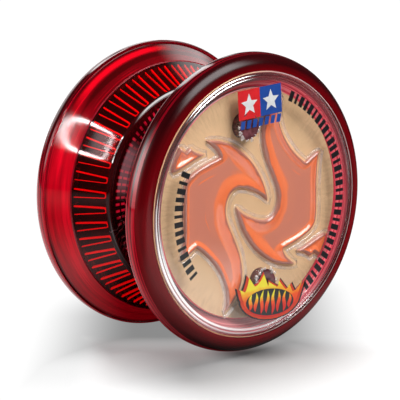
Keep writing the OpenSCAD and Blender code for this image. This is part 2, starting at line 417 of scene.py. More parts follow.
class Shader:
    """The nodes of a new material, a lamp or the world, with a short way to add and join them."""

    def __init__(self, name="", owner=None, output="Material"):
        self.material = owner or bpy.data.materials.new(name)
        self.material.use_nodes = True
        self.tree = self.material.node_tree
        self.tree.nodes.clear()
        self.output = self.tree.nodes.new("ShaderNodeOutput" + output)

    def node(self, kind, inputs=None, **settings):
        node = self.tree.nodes.new("ShaderNode" + kind)
        for key, value in settings.items():
            setattr(node, key, value)
        for key, value in (inputs or {}).items():
            socket = node.inputs[key]
            if isinstance(value, Value):
                self.tree.links.new(value.socket, socket)
            elif socket.type == "RGBA":
                socket.default_value = (*value, 1)
            else:
                socket.default_value = value
        return node

    def add(self, kind, inputs=None, output=0, **settings):
        """Adds a node and gives one of its outputs."""
        return Value(self, self.node(kind, inputs, **settings).outputs[output])

    def show(self, shader):
        self.tree.links.new(shader.socket, self.output.inputs["Surface"])
        return self.material

    def show_plastic(self, inputs):
        return self.show(self.add("BsdfPrincipled", inputs))

    def math(self, operation, *values):
        return self.add("Math", dict(enumerate(values)), operation=operation)

    def split(self, vector):
        """The x, y and z of a vector."""
        return [Value(self, part) for part in self.node("SeparateXYZ", {"Vector": vector}).outputs]

    def place(self):
        return self.add("TexCoord", output="Object")

    def normal(self):
        return self.add("NewGeometry", output="Normal")

    def axis_place(self):
        """(distance from the spin axis, |t|, angle about the axis), the first two in metres."""
        x, y, z = self.split(self.place())
        return self.math("SQRT", x * x + z * z), abs(y), self.math("ARCTAN2", z, x)

    def seen_right(self):
        """How far a point is to the right, in metres, seen from outside its own half."""
        x, y, _ = self.split(self.place())
        return x * self.range(y, -1 * MM, 1 * MM, 1.0, -1.0)

    def noise(self, scale, detail=3, rough=0.5, vector=None):
        return self.add("TexNoise", {"Vector": vector or self.place(), "Scale": scale,
                                     "Detail": detail, "Roughness": rough}, "Fac")

    def range(self, value, low, high, to_low=0.0, to_high=1.0, kind="SMOOTHSTEP"):
        """Goes from to_low to to_high as the value goes from low to high."""
        return self.add("MapRange", {"Value": value, "From Min": low, "From Max": high,
                                     "To Min": to_low, "To Max": to_high}, interpolation_type=kind)

    def sector(self, angle, middle, wide, narrow):
        """1 near an angle about the axis, 0 farther off than wide, all in degrees."""
        off = abs(angle - math.radians(middle))
        return self.range(off, math.radians(wide), math.radians(narrow))

    def ramp(self, value, *stops):
        """Colours that change smoothly between stops of a place from 0 to 1 and a colour."""
        node = self.node("ValToRGB", {"Fac": value})
        node.color_ramp.interpolation = "EASE"
        elements = node.color_ramp.elements
        while len(elements) < len(stops):
            elements.new(0.5)
        for element, (at, colour) in zip(elements, stops):
            element.position = at
            element.color = (*colour, 1)
        return Value(self, node.outputs["Color"])

    def mix_colour(self, factor, a, b):
        return self.add("MixRGB", {"Fac": factor, "Color1": a, "Color2": b})

    def mix(self, factor, a, b):
        return self.add("MixShader", {0: factor, 1: a, 2: b})

    def bump(self, height, strength, distance_mm=0.05):
        return self.add("Bump", {"Height": height, "Strength": strength, "Distance": distance_mm * MM})

    def glow(self, strength):
        return self.add("Emission", {"Strength": strength})

    def distance(self):
        return self.add("VectorMath", {0: self.place()}, "Value", operation="LENGTH")

    def mirror_share(self, least=0.04):
        """How much a clear surface mirrors, the same from either side: more at a glancing angle."""
        facing = self.add("LayerWeight", {"Blend": 0.5}, "Facing")
        return self.math("POWER", facing, 5.0) * (1.0 - least) + least


# ---- materials ------------------------------------------------------------------

def light_from_side(s, low, high, below=1.0):
    """1 where a surface faces sideways, 0 where it faces the dark ceiling and below where it
    faces the floor: the red plastic is lit through from the sides, so it's deeper on top."""
    up = s.split(s.normal())[2]
    return s.range(up, high, low) * s.range(up, -0.95, -0.45, below, 1.0)


def ring_streaks(s, across, around):
    """Rings that change slowly round the axis; the flare turns them into painted internal reflections."""
    radius, t, angle = s.axis_place()
    ring_place = s.add("CombineXYZ", {"X": radius * across, "Y": t * across,
                                      "Z": s.math("SINE", angle) * around})
    return s.noise(1.0, 3, 0.55, ring_place)


def red_rim_material():
    """Thick translucent red seen as deep maroon, with painted light: lighter where it faces sideways, deepest
    where it faces up and in between where it faces down.
    """
    s = Shader("red_rim")
    streak = ring_streaks(s, 500.0, 0.8)
    dark = s.ramp(streak, (0.3, (0.014, 0.0002, 0.0008)), (0.7, (0.034, 0.0004, 0.0015)))
    lit = s.ramp(streak, (0.3, (0.15, 0.0008, 0.003)), (0.7, (0.26, 0.001, 0.005)))
    return s.show_plastic({
        "Base Color": s.mix_colour(light_from_side(s, -0.15, 0.5, 0.35), dark, lit),
        "Roughness": s.range(streak, 0.3, 0.7, 0.15, 0.19), "IOR": 1.5,
        "Specular IOR Level": 0.2, "Normal": s.bump(s.noise(2600, 2), 0.03)})


def red_flare_material():
    """The outside of the flare over the thick rim: light comes through it from the sides, painted as a
    lighter colour except where it faces up and as a faint glow. Its streaks and rings are painted internal
    reflections.
    """
    s = Shader("red_flare")
    _, t, angle = s.axis_place()
    streak = ring_streaks(s, 900.0, 1.3)
    dark = s.ramp(streak, (0.36, (0.06, 0.0003, 0.001)), (0.54, (0.15, 0.0005, 0.003)),
                  (0.62, (0.60, 0.001, 0.010)), (0.68, (0.12, 0.0005, 0.003)))
    lit = s.ramp(streak, (0.34, (0.46, 0.0008, 0.008)), (0.5, (0.66, 0.001, 0.012)),
                 (0.66, (0.95, 0.002, 0.02)))
    colour = s.mix_colour(light_from_side(s, 0.2, 0.62), dark, lit)
    # A painted highlight: a bright band that glows, along the flare near the rim at the upper left.
    drift = (s.noise(30, 1) - 0.5) * (0.5 * MM)
    off = abs(t - (NOSE_T - 1.7) * MM + drift)
    band = s.range(off, 0.75 * MM, 0.15 * MM) * s.sector(angle, 114, 32, 14)
    colour = s.mix_colour(band, colour, (0.72, 0.001, 0.010))
    # Near the rim the colour is painted too: deeper where it faces up, lighter elsewhere.
    brim = s.range(t, (NOSE_T - 1.4) * MM, (NOSE_T - 0.7) * MM)
    rings = ring_streaks(s, 2600.0, 0.9)
    edge_dark = s.ramp(rings, (0.45, (0.035, 0.0003, 0.001)), (0.62, (0.22, 0.001, 0.008)))
    edge_lit = s.ramp(rings, (0.42, (0.10, 0.0008, 0.003)), (0.58, (0.62, 0.004, 0.02)))
    edge = s.mix_colour(light_from_side(s, -0.1, 0.6), edge_dark, edge_lit)
    colour = s.mix_colour(brim, colour, edge)
    return s.show_plastic({
        "Base Color": colour, "Roughness": 0.07, "IOR": 1.5, "Specular IOR Level": 0.4,
        "Emission Color": colour, "Emission Strength": band * 0.20 + 0.14,
        "Normal": s.bump(s.noise(2600, 2), 0.03)})


def red_window_material():
    """The thin wall of the flare, which shows the ribs behind it."""
    s = Shader("red_window")
    clear = s.add("BsdfTransparent", {"Color": (0.80, 0.10, 0.11)})
    tint = s.ramp(s.noise(160, 2), (0.3, (0.10, 0.0005, 0.001)), (0.7, (0.20, 0.001, 0.003)))
    body = s.mix(0.05, clear, s.add("BsdfDiffuse", {"Color": tint}))
    shine = s.add("BsdfGlossy", {"Color": (0.8, 0.8, 0.8), "Roughness": 0.05})
    return s.show(s.mix(s.mirror_share(), body, shine))


def red_deep_material():
    """The gap walls and the back of the shell, dark because no light comes from behind them, with the roots
    of the ribs showing through as a ring of faint dashes that have a painted glow, and a painted sheen over
    that ring at the upper left."""
    s = Shader("red_deep")
    radius, _, angle = s.axis_place()
    cloud = s.noise(120, 3)
    colour = s.ramp(cloud, (0.3, (0.022, 0.0004, 0.001)), (0.7, (0.05, 0.001, 0.002)))
    # The rib roots as faint dashes: the roots are real, their brightness and glow are painted light.
    dash = s.range(s.math("SINE", angle * (2.0 * RIB_COUNT)), 0.1, 0.6)
    band = s.range(radius, 16.6 * MM, 17.0 * MM) * s.range(radius, 19.2 * MM, 18.8 * MM)
    split_line = s.range(abs(radius - 17.9 * MM), 0.12 * MM, 0.22 * MM)
    roots = dash * band * (split_line * s.range(cloud, 0.35, 0.6))
    colour = s.mix_colour(roots, colour, (0.7, 0.006, 0.03))
    # A painted sheen: a pale glowing patch over the ring of dashes at the upper left.
    ring = s.range(radius, 16.2 * MM, 16.8 * MM) * s.range(radius, 19.0 * MM, 18.5 * MM)
    sheen = ring * s.sector(angle, 160, 22, 8)
    colour = s.mix_colour(sheen * 0.3, colour, (0.60, 0.30, 0.34))
    # Thin pale arcs in patches.
    pale_arcs = s.range(abs(s.noise(240, 2) - 0.5), 0.008, 0.003) * s.range(s.noise(70, 1), 0.55, 0.62)
    colour = s.mix_colour(pale_arcs * 0.5, colour, (0.62, 0.30, 0.32))
    return s.show_plastic({
        "Base Color": colour, "Roughness": 0.035, "IOR": 1.5, "Specular IOR Level": 0.7,
        "Emission Color": colour, "Emission Strength": s.math("MAXIMUM", roots * 0.5, sheen * 0.5),
        "Normal": s.bump(s.noise(900, 2), 0.05)})


def red_bright_material():
    """The inner wall round the face, lit through the clear cap, with fine rings. Its light is painted: bright
    and glowing most where it faces left, deep where it faces right, pale as a painted reflection where it
    faces up.
    """
    s = Shader("red_bright")
    rings = ring_streaks(s, 2600.0, 0.6)
    shade = s.ramp(rings, (0.35, (0.42, 0.02, 0.035)), (0.5, (0.74, 0.07, 0.105)),
                   (0.65, (0.90, 0.20, 0.23)))
    deep = s.ramp(rings, (0.42, (0.05, 0.001, 0.003)), (0.5, (0.12, 0.004, 0.008)),
                  (0.6, (0.80, 0.12, 0.06)))
    pale = s.ramp(rings, (0.35, (0.36, 0.17, 0.18)), (0.5, (0.50, 0.30, 0.30)),
                  (0.65, (0.75, 0.55, 0.55)))
    # Painted light, set by the way the wall faces in the world.
    sideways, _, up = s.split(s.normal())
    colour = s.mix_colour(s.range(sideways, -0.1, 0.5), shade, deep)
    colour = s.mix_colour(s.range(up, 0.35, 0.85), colour, pale)
    return s.show_plastic({
        "Base Color": colour, "Roughness": 0.35, "IOR": 1.5, "Specular IOR Level": 0.15,
        "Emission Color": colour, "Emission Strength": s.range(sideways, -0.4, 0.1, 0.42, 0.12)})


def rib_material(name, glow, level=1.0):
    """Rib edges, which pipe light through the red plastic and glow."""
    s = Shader(name)
    colour = s.ramp(s.noise(300, 2), (0.25, (0.75 * level, 0.002, 0.008)), (0.75, (level, 0.008, 0.025)))
    return s.show_plastic({
        "Base Color": colour, "Roughness": 0.2, "IOR": 1.5,
        "Emission Color": (1.0, 0.004, 0.02), "Emission Strength": glow})


def cup_material():
    s = Shader("black_cup")
    colour = s.ramp(s.noise(200, 3), (0.3, (0.008, 0.004, 0.005)), (0.7, (0.018, 0.008, 0.010)))
    return s.show_plastic({"Base Color": colour, "Roughness": 0.3,
                           "Normal": s.bump(s.noise(1500, 3), 0.06)})


def disc_material():
    """Beige satin card, with faint streaks running out from the middle and a softer rim."""
    s = Shader("beige_disc")
    radius, _, angle = s.axis_place()
    streak_place = s.add("CombineXYZ", {"X": angle * 26.0, "Y": radius * 220.0})
    streaks = s.noise(1.6, 4, 0.6, streak_place)
    base = s.ramp(s.noise(110, 4), (0.3, (0.80, 0.53, 0.295)), (0.7, (0.90, 0.60, 0.345)))
    mark = s.range(radius, 15 * MM, 22 * MM) * s.range(streaks, 0.35, 0.6, 0.35, 0.0)
    colour = s.mix_colour(mark, base, (0.56, 0.33, 0.18))
    return s.show_plastic({
        "Base Color": colour, "Roughness": 0.45, "Specular IOR Level": 0.35,
        # A faint painted glow that brightens the card.
        "Emission Color": colour, "Emission Strength": 0.06, "Normal": s.bump(streaks, 0.08)})


def flame_material():
    """Translucent orange: salmon where it's flat and thin over the disc, bright at its raised border, which
    also has a painted glow. Painted highlight streaks lie on the flats and painted glowing patches near the
    middle.
    """
    s = Shader("orange_flame")
    wobble = (s.noise(260, 2) - 0.5) * 0.5
    depth = s.add("Attribute", attribute_name="edge_mm", output="Fac") + wobble
    share = s.range(depth, 0.0, 3.4, kind="LINEAR")
    colour = s.ramp(share, (0.0, (0.72, 0.34, 0.27)), (0.13, (0.60, 0.22, 0.16)),
                    (0.18, (0.95, 0.22, 0.08)), (0.38, (1.0, 0.27, 0.11)),
                    (0.48, (0.94, 0.34, 0.22)), (1.0, (0.90, 0.33, 0.22)))
    # A painted glow along the raised border.
    glow = s.ramp(share, (0.0, (0.02, 0.01, 0.008)), (0.14, (0.02, 0.01, 0.005)),
                  (0.19, (0.34, 0.06, 0.015)), (0.38, (0.36, 0.07, 0.02)),
                  (0.48, (0.06, 0.012, 0.005)))
    # Painted highlight streaks on the flats, about 2.75 mm in from the edge.
    streak_glint = s.range(abs(depth - 2.75), 0.2, 0.05) * s.range(s.noise(130, 2), 0.5, 0.62)
    radius = s.axis_place()[0]
    # Painted glowing patches near the middle of the face.
    patch = s.range(radius, 9.5 * MM, 5.0 * MM) * s.range(s.noise(520, 3, 0.6), 0.48, 0.58)
    bright = s.math("MAXIMUM", streak_glint, patch * s.range(depth, 0.45, 0.7))
    body = s.add("BsdfPrincipled", {
        "Base Color": s.mix_colour(bright, colour, (1.0, 0.27, 0.10)), "Roughness": 0.10, "IOR": 1.5,
        "Emission Color": s.mix_colour(bright, glow, (0.34, 0.06, 0.015)), "Emission Strength": 1.0,
        "Coat Weight": 1.0, "Coat Roughness": 0.04, "Coat IOR": 1.6,
        "Normal": s.bump(s.noise(900, 2), 0.05)})
    return s.show(s.mix(0.82, s.add("BsdfTransparent", {"Color": (1.0, 0.5, 0.38)}), body))


def clear_material(name="clear_acrylic", least=0.04, frost=0.0, right_least=None):
    """Clear acrylic: seen straight through, with a mirror at its surface and maybe some frost.
    right_least is how much it mirrors at least on the right of the face, if not the same: a painted change of
    its reflections from side to side."""
    s = Shader(name)
    if right_least is not None:
        least = s.range(s.seen_right(), -4 * MM, 12 * MM, least, right_least)
    clear = s.add("BsdfTransparent", {"Color": (0.99, 0.99, 0.99)})
    if frost:
        patches = s.range(s.noise(260, 3), 0.35, 0.65, frost * 0.3, frost * 1.7)
        clear = s.mix(patches, clear, s.add("BsdfDiffuse", {"Color": (1.0, 0.88, 0.84)}))
    scuff = s.range(s.noise(420, 5, 0.7), 0.45, 0.75, 0.015, 0.05)
    shine = s.add("BsdfGlossy", {"Color": (0.85, 0.85, 0.85), "Roughness": scuff})
    return s.show(s.mix(s.mirror_share(least), clear, shine))


def peg_material():
    """The heat-staked ends of the pegs, dull maroon with a rough melted skin."""
    s = Shader("staked_peg")
    cloud = s.noise(900, 4)
    colour = s.ramp(cloud, (0.3, (0.075, 0.018, 0.022)), (0.7, (0.19, 0.06, 0.07)))
    return s.show_plastic({"Base Color": colour, "Roughness": 0.22, "Normal": s.bump(cloud, 0.5, 0.2)})


def ink_material(name, colour, right_colour=None):
    """Screen-printed ink, with a slightly uneven film; right_colour, if given, is painted over it on the
    right as painted light.
    """
    s = Shader(name)
    film = s.noise(700, 4)
    shade = s.ramp(film, (0.3, [c * 0.88 for c in colour]), (0.7, colour))
    if right_colour:
        shade = s.mix_colour(s.range(s.seen_right(), -8 * MM, 8 * MM), shade, right_colour)
    return s.show_plastic({"Base Color": shade, "Roughness": 0.3, "Normal": s.bump(film, 0.08)})


def fireball_material(name, low, high):
    """Ink that fades from yellow at height high, in millimetres, through orange to red at low."""
    s = Shader(name)
    height = s.split(s.place())[2] + (s.noise(380, 3) - 0.5) * (2.4 * MM)
    colour = s.ramp(s.range(height, low * MM, high * MM), (0.0, (0.72, 0.015, 0.01)),
                    (0.35, (0.93, 0.09, 0.015)), (0.62, (0.98, 0.40, 0.02)), (0.85, (0.96, 0.82, 0.05)))
    return s.show_plastic({"Base Color": colour, "Roughness": 0.3})


def metal_material(name, colour, rough, lathe_marks=False):
    s = Shader(name)
    if lathe_marks:
        radius, t, _ = s.axis_place()
        grain_place = s.add("CombineXYZ", {"X": radius * 9000.0, "Y": t * 9000.0})
        grain = s.noise(1.0, 3, 0.6, grain_place)
    else:
        grain = s.noise(1400, 4)
    return s.show_plastic({
        "Base Color": s.ramp(grain, (0.25, [c * 0.8 for c in colour]), (0.75, colour)),
        "Metallic": 1.0, "Roughness": s.range(grain, 0.3, 0.7, rough * 0.8, rough * 1.3),
        "Normal": s.bump(grain, 0.08)})


def rubber_material():
    s = Shader("response_rubber")
    grain = s.noise(2200, 4)
    colour = s.ramp(grain, (0.3, (0.52, 0.50, 0.47)), (0.7, (0.66, 0.64, 0.60)))
    return s.show_plastic({"Base Color": colour, "Roughness": 0.75, "Normal": s.bump(grain, 0.3, 0.1)})


def string_material():
    """Twisted cotton: fine fibres and a soft sheen."""
    s = Shader("cotton_string")
    fibre = s.noise(3800, 5, 0.7)
    colour = s.ramp(fibre, (0.3, (0.62, 0.59, 0.50)), (0.7, (0.84, 0.81, 0.72)))
    return s.show_plastic({
        "Base Color": colour, "Roughness": 0.85, "Sheen Weight": 0.4,
        # A faint painted glow that brightens the string.
        "Emission Color": colour, "Emission Strength": 0.18, "Normal": s.bump(fibre, 0.5, 0.08)})


RED_RIM = red_rim_material()
RED_FLARE = red_flare_material()
RED_WINDOW = red_window_material()
RED_DEEP = red_deep_material()
RED_BRIGHT = red_bright_material()
RED_RIB = rib_material("red_rib", 0.7)
RED_GLOW = rib_material("red_edge_line", 0.0, 0.35)
CUP = cup_material()
DISC = disc_material()
FLAME = flame_material()
CLEAR = clear_material()
CLEAR_EDGE = clear_material("clear_edge", 0.24, 0.0, 0.10)      # the edge mirrors inside the plastic too; it mirrors less on the right, a painted dimming of its reflections there
CLEAR_LINE = clear_material("clear_bevel", 0.70, 0.0, 0.26)     # its bevel, which shows a bright line; it mirrors less on the right, a painted dimming of its reflections there
CLEAR_BEAD = clear_material("clear_bead", 0.14, 0.14)
# Amber, with painted mauve on the right where the same line is lit differently.
GOLD_LINE = ink_material("amber_line", (0.90, 0.52, 0.28), (0.62, 0.40, 0.40))
PEG = peg_material()
MELT = clear_material("melted_plastic", 0.10, 0.2)
INK_BLACK = ink_material("ink_black", (0.012, 0.011, 0.013))
INK_RED = ink_material("ink_red", (0.78, 0.02, 0.025))
INK_BLUE = ink_material("ink_blue", (0.018, 0.075, 0.36))
INK_WHITE = ink_material("ink_white", (0.86, 0.86, 0.86))
INK_EMBER = ink_material("ink_ember", (0.72, 0.05, 0.012))
INK_FIREBALL = fireball_material("ink_fireball", -21.5, -14.0)
INK_TONGUE = fireball_material("ink_tongue", -21.0, -16.4)
STEEL = metal_material("plated_steel", (0.62, 0.62, 0.63), 0.28)
SEAT_METAL = metal_material("turned_aluminium", (0.78, 0.78, 0.80), 0.22, lathe_marks=True)
BEARING_STEEL = metal_material("bearing_steel", (0.70, 0.70, 0.72), 0.12, lathe_marks=True)
BRASS = metal_material("cage_brass", (0.72, 0.50, 0.22), 0.3)
RUBBER = rubber_material()
COTTON = string_material()


# ---- CAD nodes that stay, with better materials -----------------------------------

KEPT = {
    "hub_cup": CUP, "axle_nut": STEEL, "bearing_seat": SEAT_METAL, "response_ring": RUBBER,
    "bearing_shield": BEARING_STEEL, "shield_clip": STEEL,
    "bearing_inner_race": BEARING_STEEL, "bearing_outer_race": BEARING_STEEL,
    "bearing_balls": BEARING_STEEL, "bearing_cage": BRASS,
}


def dress_cad_nodes():
    for name, node in frame["nodes"].items():
        plain = name.removeprefix("front_").removeprefix("rear_")
        if plain in KEPT:
            node.data.materials.clear()
            node.data.materials.append(KEPT[plain])


# ---- half shell -------------------------------------------------------------------

SHELL_MATERIALS = (RED_RIM, RED_FLARE, RED_WINDOW, RED_DEEP, RED_BRIGHT, RED_GLOW)
Z_RIM, Z_FLARE, Z_WINDOW, Z_DEEP, Z_BRIGHT, Z_GLOW = range(6)
HOLLOW = 0.82                     # four times the depth of the flare's hollow
HEEL_R = 1.2                      # rounding between the gap wall and the flare
BRIM_R = 0.9                      # rounding between the flare and the rim


def flare_radius(t):
    """The flare's outside, hollowed a little so that it's steepest at the rim."""
    s = t - GAP_T
    length = NOSE_T - GAP_T
    return GAP_WALL_R + FLARE_SLOPE * s - HOLLOW * s * (length - s) / length ** 2


WINDOW_WALL = 0.8                 # radial thickness of the flare's see-through wall
POCKET_TOP = (flare_radius(WALL_TOP_T + 1.0) - WINDOW_WALL, WALL_TOP_T + 1.0)
POCKET_LOW = (flare_radius(GAP_T + 1.1) - WINDOW_WALL, GAP_T + 1.1)


def shell_profile():
    """The shell's closed section as (radius, t) points and a material zone after each."""
    bend = HOLLOW / (NOSE_T - GAP_T)
    low_tilt = math.degrees(math.atan(FLARE_SLOPE - bend))     # of the flare, from the spin axis
    tilt = math.degrees(math.atan(FLARE_SLOPE + bend))
    turn = 90 - low_tilt
    heel_back = HEEL_R * math.tan(math.radians(turn / 2))
    heel_c = (GAP_WALL_R - heel_back, GAP_T + HEEL_R)
    groove_t = WALL_TOP_T + 0.05
    start_t = heel_c[1] + HEEL_R * math.sin(math.radians(270 + turn)) + 0.1
    brim_back = BRIM_R * math.tan(math.radians(tilt / 2))
    top_t = NOSE_T - brim_back - BRIM_R * math.sin(math.radians(tilt)) * 0.5
    return zoned(
        (Z_DEEP, [(SEAT_R + PLAY, RECESS_T)]),
        (Z_DEEP, arc(RECESS_R - 0.2, RECESS_T - 0.2, 0.2, 90, 0, 4)),
        (Z_DEEP, arc(RECESS_R + 0.15, GAP_T + 0.15, 0.15, 180, 270, 4)),
        (Z_DEEP, [(RING_IN_R - PLAY, GAP_T), (RING_IN_R - PLAY, RING_T)]),
        (Z_DEEP, [(RING_R + PLAY, RING_T), (RING_R + PLAY, GAP_T)]),
        (Z_DEEP, arc(*heel_c, HEEL_R, 270, 270 + turn, 12)),
        (Z_WINDOW, [(flare_radius(t), t) for t in spread(start_t, groove_t - 0.3, 14)]),
        (Z_GLOW, [(flare_radius(groove_t - 0.12), groove_t - 0.12)]),
        (Z_GLOW, [(flare_radius(groove_t) - 0.12, groove_t + 0.04)]),
        (Z_FLARE, [(flare_radius(t), t) for t in spread(groove_t + 0.12, top_t - 0.1, 12)]),
        (Z_FLARE, arc(RIM_R - BRIM_R, NOSE_T - brim_back, BRIM_R, -tilt, 0, 10)),
        (Z_FLARE, arc(NOSE_C, NOSE_T, NOSE_R, 0, 24, 8)[1:]),
        (Z_RIM, arc(NOSE_C, NOSE_T, NOSE_R, 24, 90, 21)[1:]),
        (Z_RIM, [(NOSE_C, HALF_W)]),
        (Z_BRIGHT, [(NOSE_C, CAP_T)]),
        (Z_BRIGHT, arc(FLARE_R + 0.3, CAP_T - 0.3, 0.3, 90, 180, 5)),
        (Z_BRIGHT, [(ROOM_R, FLARE_T)]),
        (Z_DEEP, [(ROOM_R, POCKET_TOP[1])]),
        (Z_WINDOW, [(flare_radius(t) - WINDOW_WALL, t) for t in spread(POCKET_TOP[1], POCKET_LOW[1], 12)]),
        (Z_DEEP, [(POCKET_LOW[0] - 1.0, POCKET_LOW[1])]),
        (Z_DEEP, [(POCKET_LOW[0] - 1.05, WEB_T), (SEAT_R + PLAY, WEB_T)]))


def half_shell(half):
    bm = bmesh.new()
    profile, zones = shell_profile()
    lathe(bm, half, profile, 288, zones)
    piece = finish_mesh(f"{half}_shell", bm, SHELL_MATERIALS, f"{half}_half", 32)
    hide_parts(f"{half}_half_shell")


def rib_fins(half):
    """Thin U-shaped fins on the inside of the flare's thin wall, wider and open towards the
    rim. One leg of each is thicker than the other."""
    heel_w, mouth_w, wall, height = 0.50, 0.80, 0.11, 0.32
    length = (Vector(POCKET_TOP) - Vector(POCKET_LOW)).length - 0.15
    outer_end = length - 1.0
    bm = bmesh.new()

    def u_line(side):
        start = heel_w + wall

        def leg_line(from_s, to_s, sign, thick):
            line = []
            for s in spread(from_s, to_s, 8):
                wide = heel_w + (mouth_w - heel_w) * (s - start) / (outer_end - start)
                line.append((s, sign * (wide + side * wall * thick)))
            return line

        heel = []
        for degrees in spread(90, 270, 12):
            a = math.radians(degrees)
            r = heel_w + side * wall * (1.0 + 0.3 * math.sin(a))
            heel.append((start + r * math.cos(a), r * math.sin(a)))
        return leg_line(outer_end, start + 0.2, 1, 1.3) + heel + leg_line(start + 0.2, outer_end, -1, 0.7)

    outer, inner = u_line(1), u_line(-1)
    for rib in range(RIB_COUNT):
        a = 2 * math.pi * (rib + 0.5) / RIB_COUNT

        def corner(point, lift):
            s, w = point
            t = POCKET_LOW[1] + (POCKET_TOP[1] - POCKET_LOW[1]) * s / (length + 0.15)
            section = Vector((flare_radius(t) - WINDOW_WALL - lift, t))
            x = section.x * math.cos(a) - w * math.sin(a)
            y = section.x * math.sin(a) + w * math.cos(a)
            return bm.verts.new(place(half, x, y, section.y))

        rows = [[corner(p, lift) for p in line]
                for line, lift in ((outer, -0.1), (outer, height), (inner, height), (inner, -0.1))]
        for k in range(4):
            row, other = rows[k], rows[(k + 1) % 4]
            for i in range(len(row) - 1):
                bm.faces.new([row[i], row[i + 1], other[i + 1], other[i]])
        for end in (0, -1):
            bm.faces.new([row[end] for row in rows])
    finish_mesh(f"{half}_rib_fins", bm, [RED_RIB], f"{half}_half", 50)


def peg_heads(half):
    """The shell's two pegs, with melted heads a little wider than the pegs and uneven."""
    bm = bmesh.new()
    for turn in (0, 180):
        centre = polar(PEG_ORBIT, PEG_ANGLE + turn)
        profile = [(0.0, WEB_T + 0.3), (PEG_R, WEB_T + 0.3), (PEG_R, HALF_W - 0.16)]
        profile += arc(PEG_R - 0.02, HALF_W - 0.08, 0.1, -40, 90, 4)
        profile += [(1.6, HALF_W - 0.06), (0.9, HALF_W - 0.16), (0.0, HALF_W - 0.20)]
        steps = 48
        phase = [random.uniform(0, 6.28) for _ in range(4)]
        rings = []
        for k, (r, t) in enumerate(profile):
            if r == 0:
                rings.append([bm.verts.new(place(half, centre.x, centre.y, t))])
                continue
            ring = []
            for i in range(steps):
                a = 2 * math.pi * i / steps
                melt = 0.0
                if k > 2:
                    melt = 0.06 * math.sin(3 * a + phase[0]) + 0.05 * math.sin(7 * a + phase[1])
                lift = 0.03 * math.sin(5 * a + phase[2]) if k > 3 else 0.0
                x = centre.x + (r + melt) * math.cos(a)
                y = centre.y + (r + melt) * math.sin(a)
                ring.append(bm.verts.new(place(half, x, y, t + lift)))
            rings.append(ring)
        bridge(bm, rings)
    finish_mesh(f"{half}_peg_heads", bm, [PEG], f"{half}_half", 60)


COLLAR_BEADS = 9
COLLAR_START, COLLAR_SPAN = 188, 164        # where the beads start round a peg, and how far they go


def peg_collars(half):
    """Beads of melted plastic squeezed out of each peg's head, on the side towards the middle."""
    bm = bmesh.new()
    for turn in (0, 180):
        centre = polar(PEG_ORBIT, PEG_ANGLE + turn)
        for i in range(COLLAR_BEADS):
            share = (i + random.uniform(-0.4, 0.4)) / (COLLAR_BEADS - 1)
            a = math.radians(turn + COLLAR_START + COLLAR_SPAN * share)
            size = random.uniform(0.2, 0.55)
            reach_r = PEG_R + random.uniform(0.0, 0.35)
            x = centre.x + reach_r * math.cos(a)
            y = centre.y + reach_r * math.sin(a)
            squash = Matrix.Diagonal((size, size, 0.45 * size, 1))
            blob = bmesh.new()
            bmesh.ops.create_icosphere(blob, subdivisions=2, radius=1, matrix=squash)
            wave = random.uniform(0, 6.28)
            local = {}
            for v in blob.verts:
                swell = 1 + 0.18 * math.sin(3 * math.atan2(v.co.y, v.co.x) + wave)
                t = HALF_W + max(0.0, v.co.z) - 0.02
                local[v.index] = bm.verts.new(place(half, x + v.co.x * swell, y + v.co.y * swell, t))
            for face in blob.faces:
                bm.faces.new([local[v.index] for v in face.verts])
            blob.free()
    finish_mesh(f"{half}_peg_collars", bm, [MELT], f"{half}_half", 60)


# ---- face -------------------------------------------------------------------------

def cut_peg_holes(piece, radius):
    """Opens the two peg holes through a plate."""
    middle_t, depth = 15, 6       # of the cutters, which reach past both faces of a plate
    bm = bmesh.new()
    along_axis = Matrix.Rotation(math.radians(90), 4, "X")
    for turn in (0, 180):
        for half in HALVES:
            middle = place(half, *polar(PEG_ORBIT, PEG_ANGLE + turn), middle_t)
            bmesh.ops.create_cone(bm, cap_ends=True, segments=64, radius1=radius * MM, radius2=radius * MM,
                                  depth=depth * MM, matrix=Matrix.Translation(middle) @ along_axis)
    cutter = mesh_object("cutter", bm)
    hole = piece.modifiers.new("peg_holes", "BOOLEAN")
    hole.operation = "DIFFERENCE"
    hole.solver = "EXACT"
    hole.object = cutter
    bpy.context.view_layer.update()
    depsgraph = bpy.context.evaluated_depsgraph_get()
    cut = bpy.data.meshes.new_from_object(piece.evaluated_get(depsgraph), depsgraph=depsgraph)
    piece.modifiers.clear()
    piece.data = cut
    cut.shade_smooth()
    cut.set_sharp_from_angle(angle=math.radians(30))
    cutter_mesh = cutter.data
    bpy.data.objects.remove(cutter)
    bpy.data.meshes.remove(cutter_mesh)


def backing_disc(half):
    bm = bmesh.new()
    top = FLAME_T
    profile = [(0, DISC_T), (DISC_R - 0.1, DISC_T), (DISC_R, DISC_T + 0.1)]
    profile += arc(DISC_R - 0.15, top - 0.15, 0.15, 0, 90, 4) + [(0, top)]
    # The rounded edge takes the wall's red material: painted red light and glow over the shade in the gap
    # between disc and wall.
    lathe(bm, half, profile, 192, [0, 1, 1] + [1] * 4 + [0, 0])
    piece = finish_mesh(f"{half}_face_disc", bm, [DISC, RED_BRIGHT], f"{half}_half")
    cut_peg_holes(piece, PEG_R + PLAY)
    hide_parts(f"{half}_backing_disc")


